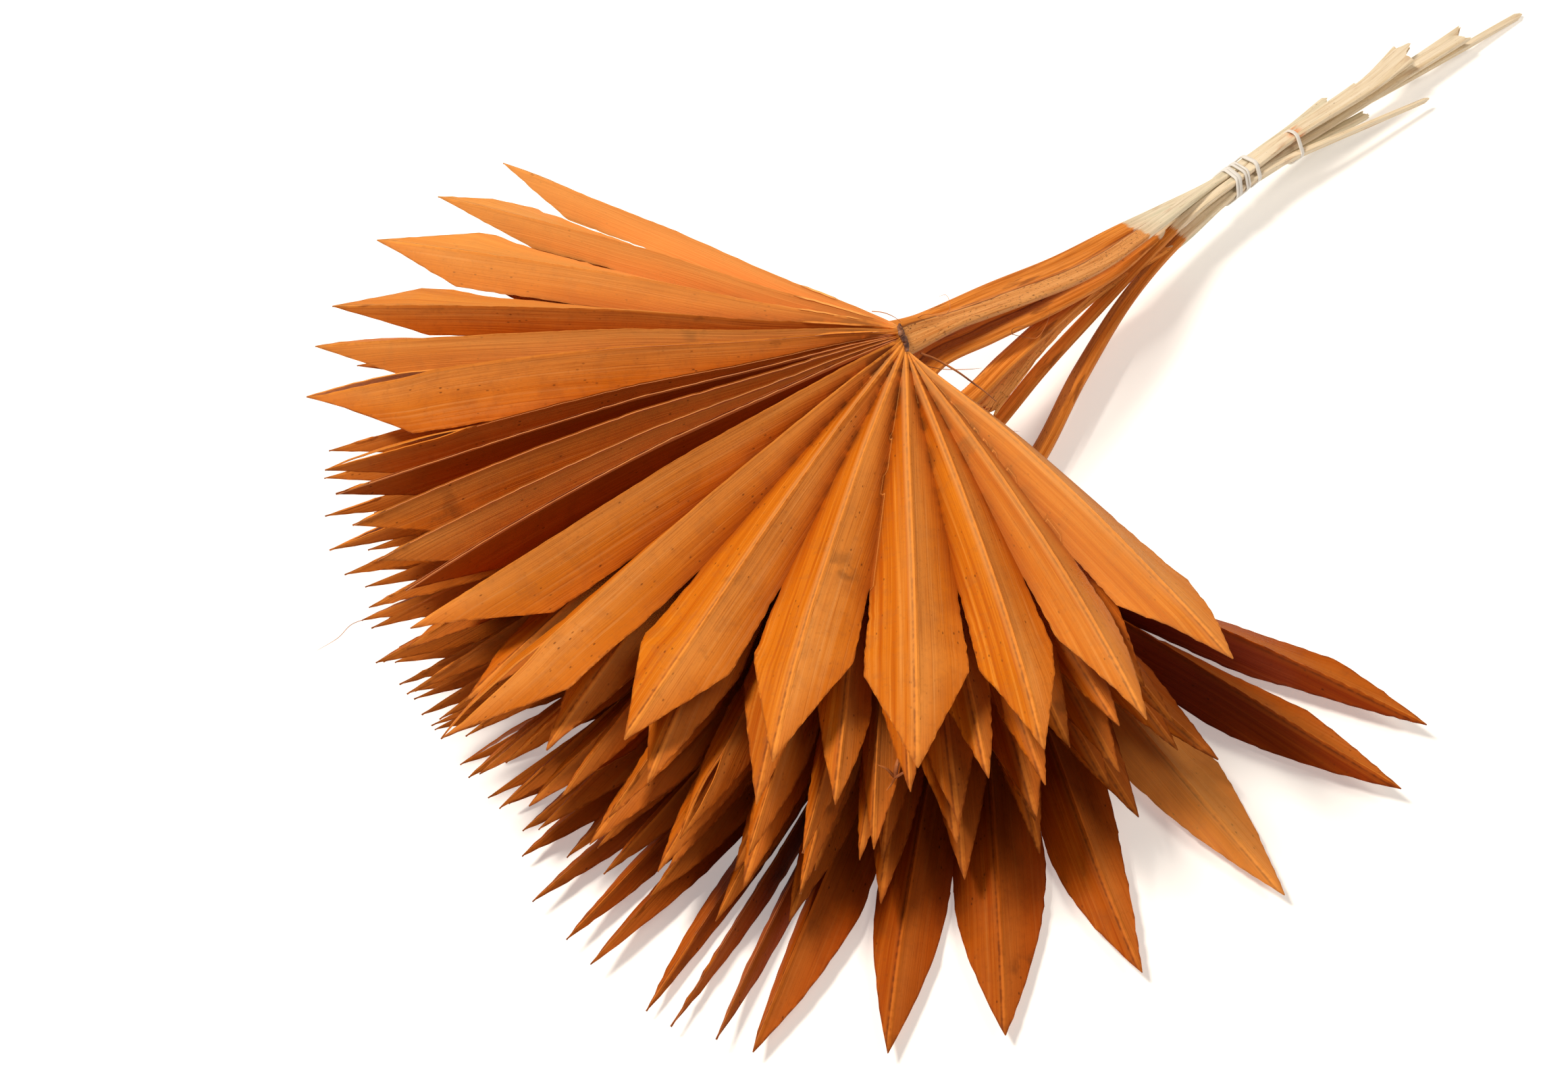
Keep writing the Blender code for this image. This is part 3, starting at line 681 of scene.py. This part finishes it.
# Dried palm stalk: straw-coloured fibre under a thin hard skin, which shines a little where it is
# whole and is matt and woolly where it has worn off. The dye has soaked in and left a crisp line at
# the depth of the bath.
def dried_stalk(tree, dyed_to, pale_code, stained, worn):
    across, deep, station, cut_end = (
        node(tree, "Attribute", out="Fac", attribute_name=measure)
        for measure in ("across", "deep", "station", "cut_end"))

    def fibres(width, length):
        """Places on a stalk, counted in fibres of this width and length in mm."""
        return node(tree, "CombineXYZ", *(
            node(tree, "Math", measure, 1 / size, operation="MULTIPLY")
            for measure, size in ((across, width), (deep, width), (station, length))))

    # Single fibres, bundles of them, patches of skin, and specks: width, length, seed, detail
    fine, broad, patch, specks = (
        node(tree, "TexNoise", fibres(width, length), seed, 1.0, detail, 0.6, noise_dimensions="4D")
        for width, length, seed, detail in ((0.385, 22, 1.0, 3.0), (1.33, 50, 4.0, 2.0),
                                            (2.86, 20, 7.0, 3.0), (0.455, 1.8, 11.0, 2.0)))

    dye = coated(tree, colour("#E6903A"), ("#C0691A", 1, (broad, 0.38, 0.62)),
                 ("#984A10", 0.6, (fine, 0.50, 0.72)), ("#EBA057", 0.4, (fine, 0.42, 0.25)),
                 ("#7C3C10", 0.65, (patch, 0.56, 0.66)))
    if worn:
        start, end, code = worn
        border = weighed(tree, -1.25, (patch, 2.5), (across, 1))
        woolly = coated(tree, colour(code), ("#C27430", 1, (fine, 0.44, 0.70)),
                        ("#A85A20", 0.5, (broad, 0.54, 0.66)),
                        ("#5E2E10", 0.75, (specks, 0.59, 0.67)))
        bare = where(tree, (border, start - 0.2, start + 0.2), (border, end + 0.2, end - 0.2))
        dye = node(tree, "Mix", bare, dye, woolly, data_type="RGBA")
        lip = node(tree, "Math", weighed(tree, -end, (border, 1)), operation="ABSOLUTE")
        dye = coated(tree, dye, ("#64290A", 0.75, (lip, 0.45, 0.1)))
    pale = coated(tree, colour(pale_code), ("#F1E4CC", 1, (broad, 0.35, 0.65)),
                  ("#B48A62", 0.5, (fine, 0.52, 0.74)), ("#B9855F", 0.55, (patch, 0.58, 0.74)),
                  ("#B7B398", 0.4, (patch, 0.40, 0.28)))

    # The dye crept a few mm past its line along single fibres, and left a faint tide beyond it
    past = weighed(tree, -dyed_to - 4.5, (station, 1), (fine, 9.0))
    base = node(tree, "Mix", where(tree, (past, -0.7, 0.7)), dye, pale, data_type="RGBA")
    base = coated(tree, base, ("#D98B45", 0.22, (past, 14.0, 0.0), (past, -0.5, 0.5)))
    if stained:
        near = node(tree, "Math", weighed(tree, -34, (station, 1)), operation="ABSOLUTE")
        base = coated(tree, base, ("#E0802F", 0.8, (near, 5.0, 1.0), (broad, 0.40, 0.55)))
    base = coated(tree, base, ("#5B3319", 0.6, (specks, 0.66, 0.74)),
                  ("#C8A679", 0.5, (cut_end, 0, 1)))
    relief = weighed(tree, 0, (fine, 0.7), (broad, 0.3))
    return {"Base Color": base, "Roughness": node(tree, "MapRange", broad, 0.3, 0.7, 0.46, 0.70),
            "IOR": 1.45, "Specular IOR Level": 0.2,
            "Normal": node(tree, "Bump", 0.8, 0.5 * MM, None, relief)}


USUAL_PALE = "#E2CEAC"          # of the undyed part. Some stalks dried greyer
PALE = {"leaf_1": "#D8D0B4", "leaf_2": "#CCC8AE", "leaf_5": "#C2BA9C"}
STAINED = "leaf_6"              # a drop of dye fell on this one
# Where the skin has worn off the dyed part: from and to across the stalk in mm, and the colour of
# the fibres there
WORN = {"leaf_1": (-9.0, 2.4, "#E4A05C"), "leaf_3": (-1.5, 1.0, "#B56425"),
        "leaf_5": (-9.0, 9.0, "#F5A04A"), "leaf_7": (0.2, 9.0, "#A45C28")}
for leaf in LEAVES:
    name = leaf["name"]
    stalk = join(name + "_stalk", [sheet_from("skin", *stalk_form(leaf))], 0.01 * MM)
    finish = material_of(name + " dried palm stalk", dried_stalk, leaf["dyed_to"],
                         PALE.get(name, USUAL_PALE), name == STAINED, WORN.get(name))
    settle_piece(stalk, "petiole", finish, 60, name + "_petiole")

# === The hastula crests ===
# The hastula is the scar-like crest where a stalk stops and its pleats begin. It grew with the
# leaf, and dried hard, dark and wrinkled.

CREST_POINTS = 27
CREST_LENGTH = 1.30             # against the line along which the pleats start
CREST_BOW = 1.1                 # how far its middle bows up, in mm


# Dried scar tissue: matt and almost black, with brown and grey flakes about 2.4 mm apart.
def dried_crest(tree):
    place = node(tree, "TexCoord", out="Object")
    flakes = node(tree, "TexNoise", place, 1 / (2.4 * MM), 3.0)
    base = coated(tree, colour("#4A2A22"), ("#8C5A3C", 1, (flakes, 0.42, 0.60)),
                  ("#A98E86", 0.7, (flakes, 0.60, 0.72)))
    return {"Base Color": base, "Roughness": 0.75,
            "Normal": node(tree, "Bump", 0.9, 0.6 * MM, None, flakes)}


def tube_form(points, sizes, sides):
    """Places of a closed tube along points. sizes has its radius, or half-width and half-height."""
    points = [Vector(point) for point in points]
    rows = []
    side_was = None
    for i, point in enumerate(points):
        ahead = (points[min(i + 1, len(points) - 1)] - points[max(i - 1, 0)]).normalized()
        up = Vector((0, 0, 1)) if side_was is None else side_was.cross(ahead)
        if abs(ahead.dot(up)) > 0.98:
            up = Vector((0, 1, 0))
        side = ahead.cross(up).normalized()
        side_was = side
        up = side.cross(ahead)
        half = sizes[i] if isinstance(sizes[i], tuple) else (sizes[i], sizes[i])
        rows.append([point + side * half[0] * math.cos(turn) + up * half[1] * math.sin(turn)
                     for turn in (2 * math.pi * (k % sides) / sides for k in range(sides + 1))])
    rows = [[points[0]] * (sides + 1)] + rows + [[points[-1]] * (sides + 1)]
    return np.array([[tuple(place) for place in row] for row in rows])


crest_material = material_of("dried hastula crest", dried_crest)
for leaf in LEAVES:
    chance = random.Random(leaf["name"] + " crest")
    middle = TIE + stalk_centre(leaf, hastula(leaf).x) + Vector((-0.6, 0, 1.6)) * MM
    ridge, sizes = [], []
    for k in range(CREST_POINTS):
        share = 2 * k / (CREST_POINTS - 1) - 1
        wrinkle = Vector((chance.uniform(-0.3, 0.3) - 0.5 * math.sin(3 * share),
                          chance.uniform(-0.2, 0.2), CREST_BOW * (1 - share ** 2)))
        ridge.append(middle + KNUCKLE * CREST_LENGTH * share + wrinkle * MM)
        end = 1 - 0.6 * abs(share) ** 3
        sizes.append((end * chance.uniform(1.0, 1.75) * MM, end * chance.uniform(0.7, 1.15) * MM))
    crest = join(leaf["name"] + "_hastula_crest",
                 [sheet_from("crest", tube_form(ridge, sizes, 10), {})], 0.01 * MM)
    settle_piece(crest, "petiole", crest_material, 50)

# === The torn strip ===
# A strip of the skin of one stalk has torn loose. It is fibrous like the stalk, lies along it, bows
# up a little, and ends in a ragged edge.

STRIP_LEAF = LEAVES[4]
STRIP_FROM, STRIP_TO = -86 * MM, -167 * MM
STRIP_ROWS, STRIP_COLUMNS = 46, 11
STRIP_THICKNESS = 0.5 * MM

chance = random.Random("torn strip")
ragged = [chance.uniform(-1.6, 1.6) + 1.1 * (-1) ** k for k in range(STRIP_COLUMNS)]
outwards = np.linspace(-1, 1, STRIP_COLUMNS)
rows, halves, stations = [], [], []
for k in range(STRIP_ROWS):
    share = k / (STRIP_ROWS - 1)
    x = STRIP_FROM + (STRIP_TO - STRIP_FROM) * share
    centre = stalk_centre(STRIP_LEAF, x)
    half = 1.2 + 2.2 * min(1, 3 * share) + 0.9 * share ** 3 + 0.15 * math.sin(19 * share)
    aside = -0.4 - 2.6 * share ** 2
    above = 2.3 + 1.6 * math.sin(2.6 * share)
    rows.append([(x + ragged[j] * MM * smooth((share - 0.9) / 0.1),
                  centre.y + (aside + out * half + 0.1 * chance.uniform(-1, 1)) * MM,
                  centre.z + (above - 0.5 * out ** 2) * MM) for j, out in enumerate(outwards)])
    halves.append(half)
    stations.append(x / MM)
none = np.zeros((STRIP_ROWS, STRIP_COLUMNS))
measures = {"across": outwards[::-1] * np.array(halves)[:, None], "deep": none,
            "station": none + np.array(stations)[:, None], "cut_end": none}
strip = sheet_from("torn_skin_strip", np.array(rows, float)[:, ::-1] + np.array(TIE), measures)
wall = strip.modifiers.new("wall", "SOLIDIFY")
wall.thickness = STRIP_THICKNESS
wall.offset = -1
bpy.context.view_layer.objects.active = strip
bpy.ops.object.modifier_apply(modifier=wall.name)
finish = material_of("torn dried palm skin", dried_stalk, STRIP_LEAF["dyed_to"], USUAL_PALE, False,
                     (-9.0, 9.0, "#FBB466"))
settle_piece(strip, "petiole", finish, 50)

# === The elastic ===
# One thin white elastic band, stretched and wound round the stalks: three turns close together at
# the tie, and one further up towards the cut ends. It is flat, and each turn is doubled or twisted
# where it was pulled over itself.

# x and lean of each turn, as in the solid model, and its strands: place along x, width and
# thickness, in mm
TURNS = {
    "elastic_wrap_1": (-6, 0.34, ((-1.35, 1.35, 0.62), (-0.1, 1.25, 0.66), (1.1, 1.1, 0.6))),
    "elastic_wrap_2": (-1.6, 0.24, ((0.3, 1.3, 0.7), (1.35, 1.05, 0.62))),
    "elastic_wrap_3": (3.4, 0.10, ((3.0, 1.5, 0.72), (3.9, 0.8, 0.5))),
    "elastic_wrap_4": (31, 0.16, ((0, 1.8, 0.75),)),
}
TURN_POINTS = 120
STRAND_SIDES = 12
PAST_THE_SHORT = 20 * MM        # beyond this, the turn passes under the two short top stalks
SHORT = ("leaf_1", "leaf_2")


def strand_form(x, lean, strand, seed):
    """Places of a flat strand drawn tight round the stalks at x, closed on itself."""
    chance = random.Random(seed)
    offset, wide, thick = strand
    outline = []
    for leaf in LEAVES:
        if leaf["end"][0] * MM > x and not (x > PAST_THE_SHORT and leaf["name"] in SHORT):
            width, depth = stalk_size(leaf, x)
            centre = stalk_centre(leaf, x)
            outline += [(centre.y + width / 2 * math.cos(turn),
                         centre.z + depth / 2 * math.sin(turn))
                        for turn in np.linspace(0, 2 * math.pi, 24, endpoint=False)]
    outline = np.array(outline)
    middle = outline.mean(axis=0)
    sway, twist = chance.uniform(0, 6.28), chance.uniform(0, 6.28)
    rows = []
    for k in range(TURN_POINTS + 1):
        turn = 2 * math.pi * (k % TURN_POINTS) / TURN_POINTS
        out = np.array((math.cos(turn), math.sin(turn)))
        spot = outline[np.argmax(outline @ out)] + out * (thick / 2 + 0.12) * MM
        place_x = x + offset * MM + lean * (spot[1] - middle[1]) + 0.35 * MM * math.sin(turn + sway)
        tilt = 0.25 * math.sin(turn + twist)
        row = []
        for j in range(STRAND_SIDES + 1):
            around = 2 * math.pi * (j % STRAND_SIDES) / STRAND_SIDES
            c = math.copysign(abs(math.cos(around)) ** 0.6, math.cos(around)) * wide / 2 * MM
            s = math.copysign(abs(math.sin(around)) ** 0.6, math.sin(around)) * thick / 2 * MM
            c, s = c * math.cos(tilt) - s * math.sin(tilt), c * math.sin(tilt) + s * math.cos(tilt)
            row.append((place_x + c, spot[0] + out[0] * s, spot[1] + out[1] * s))
        rows.append(row)
    places = np.array(rows) + np.array(TIE)
    across = np.cos(np.arange(STRAND_SIDES + 1) * 2 * math.pi / STRAND_SIDES) * wide / 2
    return places, {"across": np.tile(across, (TURN_POINTS + 1, 1))}


# White latex elastic: matt and slightly ribbed along its length, with ribs 0.3 mm apart, and grey
# in patches of about 3 mm where the ribs catch dust.
def white_elastic(tree):
    across = node(tree, "Attribute", out="Fac", attribute_name="across")
    place = node(tree, "TexCoord", out="Object")
    turns = node(tree, "Math", across, 2 * math.pi / 0.3, operation="MULTIPLY")
    ribs = node(tree, "Math", turns, operation="SINE")
    dust = node(tree, "TexNoise", place, 1 / (3.3 * MM), 2.0)
    base = coated(tree, colour("#DAD9D6"), ("#F3F2EF", 1, (ribs, -1.0, 0.2)),
                  ("#CCC9C2", 0.3, (dust, 0.55, 0.75)))
    return {"Base Color": base, "Roughness": 0.62,
            "Normal": node(tree, "Bump", 0.5, 0.08 * MM, None, ribs)}


elastic_material = material_of("white latex elastic", white_elastic)
for name, (x, lean, strands) in TURNS.items():
    bands = [sheet_from("strand", *strand_form(x * MM, lean, strand, name + str(k)))
             for k, strand in enumerate(strands)]
    turn = join(name + "_strands", bands, 0.005 * MM)
    settle_piece(turn, "elastic", elastic_material, 50, name)

# === Loose fibres ===
# Threads of the leaf bases and of torn veins, dyed with the rest, which stand off the stalks and
# the leaf edges, and a flake that has broken out of a leaf.

# Places that each passes, in mm from the top leaf's hastula seen from above and from the tie's zero
# in height, then its radius
FIBRES = (
    (((1.6, 15.4, 86), (2.6, 11.6, 87.3), (3.5, 7.8, 87.3), (4.2, 4.6, 86)), 0.17),
    (((10.8, 4.5, 83), (12.6, 2.3, 85), (13.6, 0.2, 86), (14.7, -3.1, 86.4), (18.1, -3.7, 86.5),
      (20.9, -1.9, 87), (23, 1.5, 87), (20.8, 2.9, 87)), 0.14),
    (((3.8, -4.1, 78), (8.1, -6.8, 74), (13.2, -12.2, 68), (17.3, -16.5, 62), (21.4, -19.1, 56),
      (25.1, -21.3, 50)), 0.38),
    (((-0.9, -3.4, 77), (6.6, -10.6, 73), (14.1, -15.1, 70), (19.9, -17.7, 68)), 0.16),
    (((47, -9.7, 58), (47.5, -9.4, 60), (50.1, -11.7, 61), (53.1, -14.1, 60)), 0.12),
    (((47, -9.7, 58), (50, -14, 57), (52.7, -16.5, 57), (59, -15.3, 58), (62.7, -13.6, 60)), 0.12),
    (((28.5, -20.1, 30), (28.8, -22.6, 33), (30.3, -25.2, 34), (32.7, -26.9, 33)), 0.08),
    (((-117.8, -97.6, 54.5), (-115, -96, 57), (-112, -95.4, 59), (-109.5, -95.8, 59.5)), 0.75),
    (((-117.8, -97.6, 54.5), (-118.6, -95, 57.5), (-120.2, -92.8, 59)), 0.5),
    (((-117.8, -97.6, 54.5), (-115.4, -99.6, 57), (-113, -101.2, 58)), 0.45),
    (((-117.8, -97.6, 54.5), (-121.2, -99, 56), (-124, -99.6, 56.5)), 0.35),
    (((-173.2, 77.5, 35), (-178.3, 80.2, 34), (-184, 80.7, 32), (-190.9, 83.2, 30)), 0.12),
)


def fibre_form(places, radius):
    """A thin tapering tube on a smooth curve through places."""
    places = np.array(places, float)
    start = hastula(LEAVES[0])
    steps = np.arange(len(places))
    known = np.column_stack([steps, places])
    count = 6 * (len(places) - 1) + 1
    curve = [through(known, step)[1:] * MM for step in np.linspace(0, len(places) - 1, count)]
    points = [TIE + Vector((start.x + x, start.y + y, z)) for x, y, z in curve]
    sizes = [radius * MM * (1 - 0.75 * (k / (count - 1)) ** 3) for k in range(count)]
    return tube_form(points, sizes, 6)


# Single dried fibres: brown and stiff like coarse hair, lighter every 11 mm or so.
def dried_fibre(tree):
    place = node(tree, "TexCoord", out="Object")
    change = node(tree, "TexNoise", place, 1 / (11 * MM), 2.0)
    base = coated(tree, colour("#8E4A1B"), ("#CF7A35", 1, (change, 0.4, 0.6)))
    return {"Base Color": base, "Roughness": 0.6}


fibres = [sheet_from("fibre", fibre_form(*fibre), {}) for fibre in FIBRES]
fibre_material = material_of("dried palm fibre", dried_fibre)
settle_piece(join("loose_fibres", fibres, 0.002 * MM), "petiole", fibre_material, 60)

# === The stage ===
# A matt white sheet that is faintly bright by itself, a soft warm light over the leaf tips' side, a
# weaker one opposite, and weak light from all round.

TARGET = Vector((TIE.x - 265.0 * MM, TIE.y - 5.6 * MM, 44.0 * MM))   # what the camera looks at
CAMERA_TURN = math.radians(-48)
CAMERA_RISE = math.radians(50)
CAMERA_DISTANCE = 0.8514
LENS = 60
SENSOR_WIDTH = 36
FLOOR_SIZE = 6

bpy.ops.mesh.primitive_plane_add(size=FLOOR_SIZE, location=(0, 0, 0))
floor = bpy.context.object
floor.name = "floor"
floor.data.materials.append(material_of("matt white paper", lambda tree: {
    "Base Color": colour("#F4F4F3"), "Roughness": 0.9, "Emission Color": colour("#FFFFFF"),
    "Emission Strength": 0.30}))


def direction(turn, rise):
    """A step of 1 that is turned from +X and raised from the surface, in radians."""
    return Vector((*heading(turn) * math.cos(rise), math.sin(rise)))


def soft_light(name, azimuth, elevation, distance, size, power, tint):
    """A square area light that faces the bunch."""
    way = direction(math.radians(azimuth), math.radians(elevation))
    bpy.ops.object.light_add(type="AREA", location=TARGET + way * distance)
    light = bpy.context.object
    light.name = name
    light.rotation_euler = way.to_track_quat("Z", "Y").to_euler()
    light.data.size = size
    light.data.energy = power
    light.data.color = colour(tint)[:3]


soft_light("key", 128, 61, distance=1.9, size=0.40, power=37, tint="#FFF4E6")
soft_light("fill", -45, 58, distance=1.8, size=0.9, power=10, tint="#FFF1E0")

world = bpy.data.worlds.new("studio")
bpy.context.scene.world = world
world.use_nodes = True
background = world.node_tree.nodes["Background"].inputs
background["Color"].default_value = colour("#FFEFDD")
background["Strength"].default_value = 0.20

look = direction(CAMERA_TURN + math.pi / 2, -CAMERA_RISE)
bpy.ops.object.camera_add(location=TARGET - look * CAMERA_DISTANCE)
camera = bpy.context.object
camera.rotation_euler = (-look).to_track_quat("Z", "Y").to_euler()
camera.data.lens = LENS
camera.data.sensor_width = SENSOR_WIDTH
bpy.context.scene.camera = camera
bpy.context.scene.view_settings.view_transform = "Standard"
